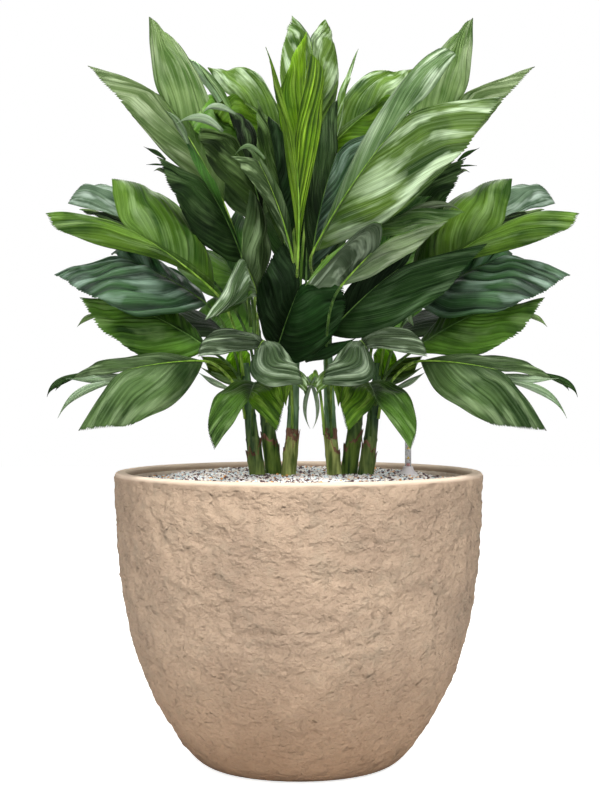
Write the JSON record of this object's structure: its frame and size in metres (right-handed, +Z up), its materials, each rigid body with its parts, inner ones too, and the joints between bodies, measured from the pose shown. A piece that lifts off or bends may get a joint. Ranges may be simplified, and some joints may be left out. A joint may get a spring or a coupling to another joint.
{
  "type": "potted palm",
  "caption": "Dwarf palm with broad forked dark green leaves on clustered canes, in a rounded sand-coloured planter topped with mineral grit and a small water gauge.",
  "frame": {"origin": "middle of the flat foot of the planter, on the surface it stands on", "axes": "+Z up along the planter's axis, +X to the right and +Y to the back as seen from the front; the canes stand in two clumps either side of a plane 15 mm right of the planter's axis"},
  "size_m": [0.5724, 0.447, 0.8832],
  "materials": {
    "sand_stone": "sand-coloured rough cast stone finish, matt, with soft wrinkled relief and a few pits",
    "mixed_grit": "loose mineral grit, grains of white, blue-white, tan, brown-purple and a few orange",
    "cane_green": "olive to grey-green ringed cane with brown papery sheath remains, satin",
    "clear_plastic": "clear hard plastic, glossy",
    "grey_plastic": "grey-lilac translucent plastic, satin",
    "red_plastic": "red moulded plastic, satin",
    "leaf_metal": "dark blue-green leaf with a metallic satin sheen and fine veins",
    "leaf_dark": "dark green leaf, satin gloss, fine parallel veins",
    "leaf_mid": "mid green leaf, satin gloss, fine parallel veins",
    "leaf_fresh": "fresh green leaf, satin gloss, pleated between veins",
    "leaf_bright": "bright yellow-green leaf, satin gloss, strong pleats",
    "leaf_under": "pale grey-green underside of a leaf, matt, with darker veins",
    "leaf_pale": "pale mint leaf with a soft sheen"
  },
  "bodies": {
    "root": {"cane_left_1": "cane_green", "cane_left_2": "cane_green", "cane_left_3": "cane_green", "cane_right_1": "cane_green", "cane_right_2": "cane_green", "cane_right_3": "cane_green", "frond_apron": "leaf_dark", "frond_banner": "leaf_bright", "frond_bib_left": "leaf_fresh", "frond_bib_right": "leaf_fresh", "frond_bow_left": "leaf_metal", "frond_bow_right": "leaf_metal", "frond_broad": "leaf_dark", "frond_crest_left": "leaf_under", "frond_crest_right": "leaf_under", "frond_crown": "leaf_fresh", "frond_curl": "leaf_pale", "frond_droop_left": "leaf_mid", "frond_droop_right": "leaf_mid", "frond_elbow": "leaf_mid", "frond_fan_left": "leaf_fresh", "frond_fan_right": "leaf_fresh", "frond_flame": "leaf_bright", "frond_hind": "leaf_dark", "frond_hind_shoulder_left": "leaf_pale", "frond_hind_shoulder_right": "leaf_pale", "frond_hook": "leaf_dark", "frond_inner_left": "leaf_dark", "frond_inner_right": "leaf_dark", "frond_low_left": "leaf_mid", "frond_low_right": "leaf_mid", "frond_peak": "leaf_pale", "frond_rear_centre": "leaf_dark", "frond_rear_high_left": "leaf_fresh", "frond_rear_high_right": "leaf_fresh", "frond_rear_low_left": "leaf_mid", "frond_rear_low_right": "leaf_mid", "frond_rear_middle_left": "leaf_metal", "frond_rear_middle_right": "leaf_metal", "frond_scroll": "leaf_under", "frond_second": "leaf_bright", "frond_shade": "leaf_metal", "frond_shoulder_left": "leaf_fresh", "frond_shoulder_right": "leaf_fresh", "frond_side_left": "leaf_metal", "frond_side_right": "leaf_metal", "frond_skirt_left": "leaf_mid", "frond_skirt_right": "leaf_mid", "frond_spear": "leaf_bright", "frond_spire": "leaf_dark", "frond_tongue": "leaf_under", "frond_tuck_left": "leaf_fresh", "frond_tuck_right": "leaf_fresh", "frond_turned": "leaf_under", "gauge_collar": "grey_plastic", "gauge_float": "red_plastic", "gauge_shaft": "grey_plastic", "gauge_tube": "clear_plastic", "grit": "mixed_grit", "planter": "sand_stone"}
  },
  "joints": []
}
